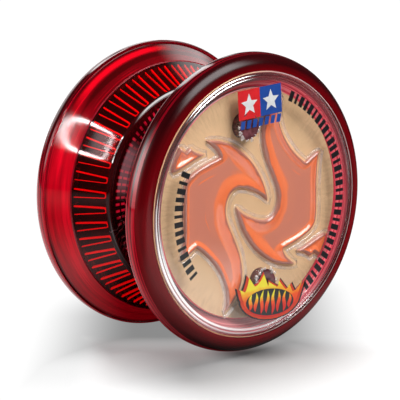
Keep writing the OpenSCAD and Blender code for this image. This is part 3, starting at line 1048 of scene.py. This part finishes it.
def cap(half):
    """The clear cap: a flat window, a shallow step and a rounded bevel at its edge."""
    step_r = FLARE_R - 0.1
    flat, edge, line, gold = range(4)
    profile, zones = zoned(
        (flat, [(0, CAP_T)]),
        (edge, [(step_r, CAP_T), (step_r + 0.12, CAP_T + 0.12)]),
        (edge, [(CAP_R - 0.12, CAP_T + 0.12), (CAP_R, CAP_T + 0.24)]),
        (gold, arc(CAP_R - 0.12, HALF_W - 0.12, 0.12, 0, 90, 4)),
        (edge, [(CAP_R - 0.20, HALF_W), (CAP_R - 0.28, HALF_W - 0.32), (CAP_R - 0.40, HALF_W - 0.45)]),
        (line, arc(CAP_R - 0.87, HALF_W - 0.45, 0.45, 0, 90, 10)),
        (edge, [(CAP_R - 0.95, HALF_W), (CAP_R - 1.02, HALF_W - 0.16), (CAP_R - 1.10, HALF_W - 0.20)]),
        (line, arc(CAP_R - 1.32, HALF_W - 0.20, 0.20, 0, 90, 6)),
        (flat, [(step_r, HALF_W), (0, HALF_W)]))
    bm = bmesh.new()
    lathe(bm, half, profile, 256, zones)
    piece = finish_mesh(f"{half}_clear_cap", bm, [CLEAR, CLEAR_EDGE, CLEAR_LINE, GOLD_LINE],
                        f"{half}_half", 30)
    cut_peg_holes(piece, PEG_R + PLAY)
    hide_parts(f"{half}_cap")


# Corners and hollows of one large flame and of the small one beside it, in
# millimetres from the spin axis. The other pair is the same, turned half round.
LOBE = [
    [(-11.3, 13.2), (-4.5, 13.5), (2.6, 7.5), (4.0, 0.1)],
    [(4.0, 0.1), (2.0, 2.0), (-1.0, 3.3), (-3.6, 3.5)],
    [(-3.6, 3.5), (-5.3, 3.3), (-6.5, 1.8), (-6.6, -0.2)],
    [(-6.6, -0.2), (-6.7, -3.6), (-2.9, -6.9), (-2.4, -12.5)],
    [(-2.4, -12.5), (-2.2, -15.8), (-4.4, -18.2), (-7.0, -20.0)],
    [(-7.0, -20.0), (-5.0, -15.6), (-8.4, -9.8), (-13.8, -6.4)],
    [(-13.8, -6.4), (-15.0, -7.2), (-16.2, -8.0), (-17.4, -8.2)],
    [(-17.4, -8.2), (-16.2, -4.6), (-17.2, 1.4), (-16.6, 5.4)],
    [(-16.6, 5.4), (-15.8, 8.0), (-10.8, 9.0), (-8.0, 9.8)],
    [(-8.0, 9.8), (-8.4, 11.2), (-9.8, 12.1), (-11.3, 13.2)],
]
WISP = [
    [(-11.6, 10.7), (-14.2, 10.2), (-16.8, 8.6), (-19.4, 8.2)],
    [(-19.4, 8.2), (-19.8, 9.4), (-18.6, 11.4), (-17.6, 12.6)],
    [(-17.6, 12.6), (-17.0, 12.2), (-16.6, 11.8), (-16.2, 11.6)],
    [(-16.2, 11.6), (-15.9, 11.9), (-15.6, 12.1), (-15.2, 12.3)],
    [(-15.2, 12.3), (-14.2, 11.4), (-12.6, 10.9), (-11.6, 10.7)],
]


BROAD_SPANS = 5                   # the first spans of a large flame have a broader border,
BROAD_GAIN = 1.45                 # by this much more,
BROAD_BLEND = 3.6                 # which narrows over this length
BROAD_EDGE = 0.5                  # and starts this far in from the edge
# Rows of points follow a flame's edge this far in from it.
FLAME_INSETS = (0.06, 0.14, 0.25, 0.38, 0.5, 0.62, 0.78, 0.94, 1.1, 1.25, 1.4, 1.7, 2.0, 2.3, 2.6, 2.9)
BEAD_OFF, BEAD_W = 0.62, 0.62     # middle and width of the clear beads beside the flames
FLAME_H = CAP_T - FLAME_T - 0.03  # the flames stop just short of the cap
CREST_D, FLAT_D = 0.5, 1.35       # how far in from a flame's edge its border peaks and ends


def border_height(d):
    """Height of a flame's top above the disc: a rounded raised border round a lower flat."""
    foot, flat = 0.3 * FLAME_H, 0.38 * FLAME_H
    if d < CREST_D:
        u = 1 - d / CREST_D
        return foot + (FLAME_H - foot) * math.sqrt(max(0.0, 1 - u * u))
    u = min(1.0, (d - CREST_D) / (FLAT_D - CREST_D))
    return FLAME_H + (flat - FLAME_H) * u * u * (3 - 2 * u)


def both_ways(spans, spacing=0.3, broad_spans=0):
    """The outlines of a flame and of the same flame turned half round, each with a mark on
    the points of its broad-bordered spans."""
    outlines = []
    for sign in (1, -1):
        points, broad = [], []
        for k, span in enumerate(spans):
            curve = curve_points([(sign * x, sign * y) for x, y in span], 24)
            end = Vector(span[-1]) * sign
            pieces = even_outline(curve + [end], spacing)
            pieces = pieces[:pieces.index(end)] if end in pieces else pieces
            points += pieces
            broad += [k < broad_spans] * len(pieces)
        outlines.append((points, broad))
    return outlines


def flames(half):
    for name, spans, node in (("flame_lobes", LOBE, "flames"), ("flame_wisps", WISP, "flame_tips")):
        bm = bmesh.new()
        for outline, broad in both_ways(spans, 0.3, BROAD_SPANS if spans is LOBE else 0):
            relief(bm, half, outline, broad, FLAME_T, border_height, FLAME_INSETS, 0.6)
        piece = finish_mesh(f"{half}_{name}", bm, [FLAME], f"{half}_half", 50)
        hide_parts(f"{half}_{node}")


def flame_beads(half):
    """Clear beads moulded under the cap, which follow each flame a little way off."""
    bm = bmesh.new()
    for spans in (LOBE, WISP):
        for outline, _ in both_ways(spans, 0.35):
            bead(bm, half, outline, CAP_T, BEAD_OFF, BEAD_W, -0.55)
    piece = finish_mesh(f"{half}_flame_beads", bm, [CLEAR_BEAD], f"{half}_half", 50)
    piece.visible_shadow = False


# ---- printed marks on the cap, all plain shapes --------------------------------------

PRINT_H = 0.03                    # thickness of a layer of ink


def turned(points, centre, degrees):
    a = math.radians(degrees)
    c, s = math.cos(a), math.sin(a)
    return [Vector((centre[0] + x * c - y * s, centre[1] + x * s + y * c)) for x, y in points]


def bar(width, height, slant=0.0):
    """Corners of a slanted bar about its middle."""
    w, h = width / 2, height / 2
    return [(-w - slant, -h), (w - slant, -h), (w + slant, h), (-w + slant, h)]


def print_layer(half, name, shapes, material, level=0):
    """Prints shapes on the cap as a thin film of ink; a higher level lies on a lower one."""
    bm = bmesh.new()
    base = HALF_W + level * PRINT_H
    for outline in shapes:
        flat_shape(bm, half, outline, base, base + PRINT_H)
    return finish_mesh(f"{half}_{name}", bm, [material], f"{half}_half", 30)


def star(radius, points=5):
    """Corners of a star with one point up."""
    corners = []
    for i in range(2 * points):
        a = math.pi / 2 + math.pi * i / points
        r = radius if i % 2 == 0 else radius * 0.45
        corners.append((r * math.cos(a), r * math.sin(a)))
    return corners


def shifted(points, x, y):
    return [(px + x, py + y) for px, py in points]


def star_badge(half):
    """A red and a blue block side by side, each with a plain white star, over a row of dashes."""
    centre, tilt = (0.4, 19.5), 4
    for name, x, ink in (("badge_red", -2.7, INK_RED), ("badge_blue", 2.7, INK_BLUE)):
        print_layer(half, name, [turned(shifted(bar(5.4, 5.5), x, 0), centre, tilt)], ink)
    stars = [turned(shifted(star(2.1), x, -0.1), centre, tilt) for x in (-2.7, 2.7)]
    print_layer(half, "badge_stars", stars, INK_WHITE, 1)
    dashes = [turned(shifted(bar(1.0, 1.5, 0.2), -4.5 + 1.5 * i, -3.75), centre, tilt) for i in range(7)]
    print_layer(half, "badge_dashes", dashes, INK_BLUE)


def tick_arcs(half):
    """Two arcs of plain tick marks near the cap's edge."""
    length, widths = 2.0, (1.05, 0.6, 1.05, 0.85)
    shapes = []
    for start, end, radius, count in ((67, -54, 21.5, 32), (156, 215, 19.3, 14)):
        for i, angle in enumerate(spread(start, end, count - 1)):
            shapes.append(turned(bar(length, widths[i % len(widths)]), polar(radius, angle), angle))
    print_layer(half, "tick_arcs", shapes, INK_BLACK)


def fire_edge(grow):
    """A bowl of fire: round below, with uneven tongues leaning out along the top."""
    tips = [(8.6, 3.6), (5.0, 2.9), (2.0, 3.7), (-0.9, 3.6), (-2.4, 5.2), (-6.4, 4.6), (-8.6, 2.2)]
    hollows = [(6.2, 1.3), (3.9, 2.0), (1.5, 2.5), (-1.0, 2.8), (-4.6, 2.7), (-7.2, 1.6)]
    points = []
    for i in range(15):
        a = math.radians(195 + 160 * i / 14)
        points.append((7.6 * math.cos(a), 0.4 + 4.2 * math.sin(a)))
    for tip, hollow in zip(tips, hollows + [(-7.4, -0.2)]):
        points.append(tip)
        for u in (0.35, 0.7):
            sag = 0.45 * math.sin(math.pi * u)
            points.append((tip[0] + (hollow[0] - tip[0]) * u + 0.2 * sag,
                           tip[1] + (hollow[1] - tip[1]) * u - sag))
        points.append(hollow)
    return [(x * grow, y * grow) for x, y in points]


def tongue(x, y, width, height, bend):
    """A leaf of flame with a bent spine, pointed at both ends."""
    left, right = [], []
    for i in range(11):
        v = i / 10
        spine = bend * math.sin(2.2 * math.pi * v) + 0.25 * bend * v
        half_width = width * math.sin(math.pi * v) ** 0.7 * (1.15 - 0.5 * v)
        left.append((x + spine - half_width, y + (v - 0.5) * height))
        right.append((x + spine + half_width, y + (v - 0.5) * height))
    return right + left[-2:0:-1]


def fireball_emblem(half):
    """A plain fireball near the bottom of the face, with a row of flame tongues."""
    centre, tilt = (3.3, -18.6), -7
    fires = (("emblem_edge", 1.09, INK_BLACK), ("emblem_base", 1.03, INK_EMBER),
             ("emblem_fire", 0.93, INK_FIREBALL))
    for level, (name, grow, ink) in enumerate(fires):
        print_layer(half, name, [turned(fire_edge(grow), centre, tilt)], ink, level)
    field = [(6.2 * x, -0.55 + 2.6 * y) for x, y in circle(1, 28)]
    print_layer(half, "emblem_field", [turned(field, centre, tilt)], INK_BLACK, 3)
    tongues = []
    for i in range(8):
        x = -5.1 + 1.46 * i
        tall = (5.0, 4.4)[i % 2] * math.sqrt(1 - (x / 6.6) ** 2)
        tongues.append(turned(tongue(x, -0.5, 0.48, tall, (0.20, -0.16)[i % 2]), centre, tilt))
    print_layer(half, "emblem_tongues", tongues, INK_TONGUE, 4)


# ---- axle and string -------------------------------------------------------------------

def threaded_axle():
    """The M4 screw axle: a helical ridge of 0.7 mm pitch with bevelled ends."""
    pitch, steps, per_turn = 0.7, 40, 10
    core, crest = AXLE_R - 0.42, AXLE_R
    length = AXLE_END - AXLE_LOW
    rows = int(length / pitch * per_turn)
    bm = bmesh.new()
    rings = []
    for k in range(rows + 1):
        t = AXLE_LOW + length * k / rows
        from_end = min(t - AXLE_LOW, AXLE_END - t)
        limit = core + min(1.0, from_end / 0.5) * (crest - core)
        ring = []
        for i in range(steps):
            a = 2 * math.pi * i / steps
            phase = (t / pitch + i / steps) % 1
            ridge = max(0.0, min(1.0, 1.25 - abs(phase - 0.5) * 2 * 1.5))
            r = min(limit, core + (crest - core) * ridge)
            ring.append(bm.verts.new(place("front", r * math.cos(a), r * math.sin(a), t)))
        rings.append(ring)
    tube(bm, rings)
    piece = finish_mesh("axle_thread", bm, [STEEL], "rear_half", 60)
    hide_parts("axle")


def wound_string():
    """The string wound on the bearing: a core and two outer layers of twisted cord."""
    cord_r = 0.42
    lay = 2.6                     # length of cord for one turn of its two strands
    room = STRING_T - cord_r
    bm = bmesh.new()
    core_r = STRING_R - 2 * cord_r - 0.55
    edge = STRING_T - 0.25
    lathe(bm, "front", [(BEARING_R, -edge), (core_r, -edge), (core_r, edge), (BEARING_R, edge)], 96)
    for layer, radius in enumerate((STRING_R - 2.55 * cord_r, STRING_R - cord_r - 0.03)):
        turns, per_turn, around = 4, 110, 8
        count = turns * per_turn
        rings = []
        for k in range(count + 1):
            u = k / count
            a = 2 * math.pi * turns * u + layer
            t = room * (2 * u - 1) * (1 if layer % 2 else -1)
            centre = Vector((radius * math.cos(a), radius * math.sin(a), t))
            out = Vector((math.cos(a), math.sin(a), 0))
            twist = 2 * math.pi * (2 * math.pi * radius * turns * u) / lay
            ring = []
            for i in range(around):
                b = 2 * math.pi * i / around
                lobe = cord_r * (0.80 + 0.20 * math.cos(2 * (b - twist)))
                p = centre + out * (lobe * math.cos(b)) + Vector((0, 0, lobe * math.sin(b)))
                ring.append(bm.verts.new(place("front", p.x, p.y, p.z)))
            rings.append(ring)
        tube(bm, rings)
    piece = finish_mesh("string_coil", bm, [COTTON], "bearing_ring", 70)
    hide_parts("string")


# ---- studio -------------------------------------------------------------------------------

CAMERA_AZIMUTH, CAMERA_ELEVATION = -40.6, 11.3
CAMERA_DISTANCE = 0.342
AIM_DROP = 1.47                   # the camera aims this far below the middle of the yo-yo
WHITE = 1.05                      # strength at which the background is plain white


def soft_shadow(s):
    """The wide soft shadow beside and behind the yo-yo, in the camera's directions: its
    brightness, and how much it takes the place of the lamps' own shadow."""
    across, toward = [
        s.add("VectorMath", {0: s.place(), 1: direction_from(azimuth, 0)}, "Value", operation="DOT_PRODUCT")
        for azimuth in (CAMERA_AZIMUTH + 90, CAMERA_AZIMUTH)]
    rise = s.range(abs(across), 12 * MM, 36 * MM, 0.75, 0.0)
    tail = s.range(across * 0.35 + toward, -20 * MM, -52 * MM, 1.0, 0.0)
    ahead = (s.range(toward, -10 * MM, 24 * MM, 0.0, 0.86)
             + s.range(toward, 20 * MM, 46 * MM, 0.0, 0.14))
    level = s.math("MAXIMUM", 1.0 - rise * tail, ahead)
    beside = s.range(across, -16 * MM, -24 * MM)
    behind = s.range(toward, 14 * MM, 0.0)
    return level * WHITE, s.math("MAXIMUM", beside, behind)


def seen_floor(s):
    """The floor as the camera sees it: pale, brighter where light spreads from the rims' foot,
    and white farther out."""
    x, y, _ = s.split(s.place())
    foot = Vector((0, -15 * MM, 0))
    from_foot = s.add("VectorMath", {0: s.place(), 1: foot}, "Value", operation="DISTANCE")
    bounce = (s.range(from_foot, 1.5 * MM, 11 * MM, 0.05, 0.28) + s.range(y, -10 * MM, 5 * MM, 0.0, 0.05)
              + s.range(x, -10 * MM, 25 * MM, 0.0, -0.08))
    matt = s.add("BsdfDiffuse", {"Color": (0.34, 0.34, 0.34)})
    near = s.add("AddShader", {0: matt, 1: s.glow(bounce)})
    white = s.mix(s.range(s.distance(), 0.04, 0.115), near, s.glow(WHITE))
    level, share = soft_shadow(s)
    return s.mix(share, white, s.glow(level))


def mirrored_floor(s):
    """The floor as the yo-yo mirrors it: bright in front and to the left, dark beneath."""
    x, y, _ = s.split(s.place())
    away = s.distance()
    right = s.range(x, 0.06, 0.02, 0.07, 1.0)
    fore = (s.range(x, -0.06, -0.03, 0.2, 1.0) * s.range(y, -0.010, -0.045, 0.35, 1.6)
            + s.range(y, -0.01, 0.02, 0.0, 0.8))
    clear = s.math("MAXIMUM", s.range(away, 0.014, 0.035), s.range(y, -0.013, -0.020, 0.0, 0.8))
    return s.glow(right * fore * (clear * s.range(away, 0.7, 0.2)))


def floor():
    """A pale floor that fades into the white background, under the rims."""
    bm = bmesh.new()
    bmesh.ops.create_grid(bm, x_segments=2, y_segments=2, size=4.0)
    piece = mesh_object("floor", bm)
    piece.location.z = CAD_BOX[0].z
    s = Shader("pale_floor")
    dim = s.add("BsdfDiffuse", {"Color": (0.10, 0.10, 0.102)})
    other = s.mix(s.add("LightPath", output="Is Glossy Ray"), dim, mirrored_floor(s))
    shown = s.mix(s.add("LightPath", output="Is Camera Ray"), other, seen_floor(s))
    piece.data.materials.append(s.show(shown))
    return piece


def aim(piece, target=(0, 0, 0)):
    direction = Vector(target) - piece.location
    piece.rotation_mode = "QUATERNION"
    piece.rotation_quaternion = direction.to_track_quat("-Z", "Y")


def direction_from(azimuth, elevation):
    """A unit vector from the yo-yo towards a place seen at azimuth and elevation, in degrees."""
    a, e = math.radians(azimuth), math.radians(elevation)
    return Vector((math.sin(a) * math.cos(e), -math.cos(a) * math.cos(e), math.sin(e)))


def panel(name, azimuth, elevation, distance, width, height, radiance):
    """A rectangular lamp, its nodes, and the place of a point of it from -0.5 to 0.5 each way."""
    data = bpy.data.lights.new(name, "AREA")
    data.shape = "RECTANGLE"
    data.size, data.size_y = width, height
    data.energy = radiance * math.pi * width * height
    lamp = new_object(name, data)
    lamp.location = direction_from(azimuth, elevation) * distance
    aim(lamp)
    s = Shader(owner=data, output="Light")
    across, up, _ = s.split(s.add("NewGeometry", output="Parametric"))
    return lamp, s, across - 0.5, up - 0.5


def soft_box(name, azimuth, elevation, distance, width, height, radiance, soft=0.35):
    """A rectangular light whose brightness falls off softly towards its edges."""
    lamp, s, across, up = panel(name, azimuth, elevation, distance, width, height, radiance)
    fades = [s.range(abs(place), 0.5, 0.5 * (1 - soft)) for place in (across, up)]
    s.show(s.glow(fades[0] * fades[1]))
    return lamp


def span_size(azimuths, elevations, distance):
    """Middle and size of a panel that covers a range of azimuth and elevation seen from the yo-yo."""
    azimuth, elevation = sum(azimuths) / 2, sum(elevations) / 2
    width, height = [2 * distance * math.tan(math.radians(high - low) / 2)
                     for low, high in (azimuths, elevations)]
    return azimuth, elevation, distance, width * math.cos(math.radians(elevation)), height


def span_light(name, azimuths, elevations, radiance, soft=0.3, distance=0.7):
    return soft_box(name, *span_size(azimuths, elevations, distance), radiance, soft)


def window_light(name, radiance):
    """A bright window frame with round corners and a dim pane, seen only in reflections. Its
    shape is worked out in degrees seen from the yo-yo, a across and e up."""
    azimuths, elevations = (-76, -56), (20, 52)
    lamp, s, across, up = panel(name, *span_size(azimuths, elevations, 5.0), radiance)
    e = up * (elevations[1] - elevations[0])
    a = across * (azimuths[1] - azimuths[0])
    a = (e * -0.21 + a + 0.9) * 3.6
    corner = s.range(a, -3.0, 3.0, 3.0, 9.5)
    side, top = [s.math("MAXIMUM", abs(place) - (reached - corner), 0.0)
                 for place, reached in ((a, 12.6), (e, 10.7))]
    off = s.math("SQRT", side * side + top * top) - corner
    bars = s.range(abs(off), s.range(a, -8.0, -12.0, 1.8, 1.2), 0.2) * s.range(a, -5.0, 4.0, 0.8, 1.5)
    pane = s.range(off, 0.3, -0.5) * s.range(a, -1.0, -5.0, 0.0, 0.07)
    s.show(s.glow(s.math("MAXIMUM", bars, pane)))
    lamp.visible_diffuse = False
    return lamp


def world():
    """White behind the object, but dim to reflections, as in a studio with dark walls."""
    studio_world = bpy.data.worlds.new("studio")
    bpy.context.scene.world = studio_world
    s = Shader(owner=studio_world, output="World")
    dim, shown = [s.add("Background", {"Color": (1, 1, 1), "Strength": level}) for level in (0.04, WHITE)]
    s.show(s.mix(s.add("LightPath", output="Is Camera Ray"), dim, shown))


def camera():
    """Looks at the front face from the left and a little above."""
    back = direction_from(CAMERA_AZIMUTH, CAMERA_ELEVATION)
    up = (Vector((0, 0, 1)) - back * back.z).normalized()
    data = bpy.data.cameras.new("camera")
    data.sensor_width = 36
    data.lens = 158.6
    data.clip_start, data.clip_end = 0.01, 20
    piece = new_object("camera", data)
    target = up * (-AIM_DROP * MM)
    piece.location = target + back * CAMERA_DISTANCE
    aim(piece, target)
    bpy.context.scene.camera = piece


def light_only(lamps, name, pieces, state):
    """Makes the lamps light only these pieces, or everything but them."""
    group = bpy.data.collections.new(name)
    for piece in pieces:
        group.objects.link(piece)
    for member in group.collection_objects:
        member.light_linking.link_state = state
    for lamp in lamps:
        lamp.light_linking.receiver_collection = group


def studio():
    ground = floor()
    world()
    camera()
    front = bpy.data.objects["front_shell"]
    lamps = [
        soft_box("key_light", 22, 50, 0.7, 0.66, 0.56, 11.7, 0.6),
        soft_box("left_light", -105, 24, 0.8, 0.9, 0.55, 4.0, 0.6),
        span_light("backdrop", (138, 196), (5, 28), 1.5, 0.2, 0.9),
    ]
    rim_light = span_light("rim_light", (-146, -62), (-14, 54), 4.2, 0.9)
    rim_light.visible_diffuse = False
    behind_light = span_light("behind_light", (146, 178), (30, 60), 6.0, 0.4, 0.9)
    side_lamps = [
        window_light("window_light", 46.0),
        span_light("back_light", (92, 124), (12, 58), 2.6, 0.8),
    ]
    over_floor = soft_box("floor_light", 150, 60, 1.0, 1.05, 1.05, 20.0, 0.1)
    light_only(lamps, "not_the_floor", [ground], "EXCLUDE")
    light_only([rim_light], "the_rim", [front], "INCLUDE")
    light_only([behind_light], "not_the_cap", [ground, bpy.data.objects["front_clear_cap"]], "EXCLUDE")
    rear = [piece for piece in bpy.data.objects if piece.name.startswith("rear_")]
    light_only(side_lamps, "the_rear", rear, "INCLUDE")
    light_only([over_floor], "the_floor", [ground], "INCLUDE")
    bpy.context.scene.view_settings.view_transform = "Standard"


dress_cad_nodes()
for half in HALVES:
    half_shell(half)
    rib_fins(half)
    peg_heads(half)
    peg_collars(half)
    backing_disc(half)
    flames(half)
    flame_beads(half)
    cap(half)
    star_badge(half)
    tick_arcs(half)
    fireball_emblem(half)
threaded_axle()
wound_string()
studio()
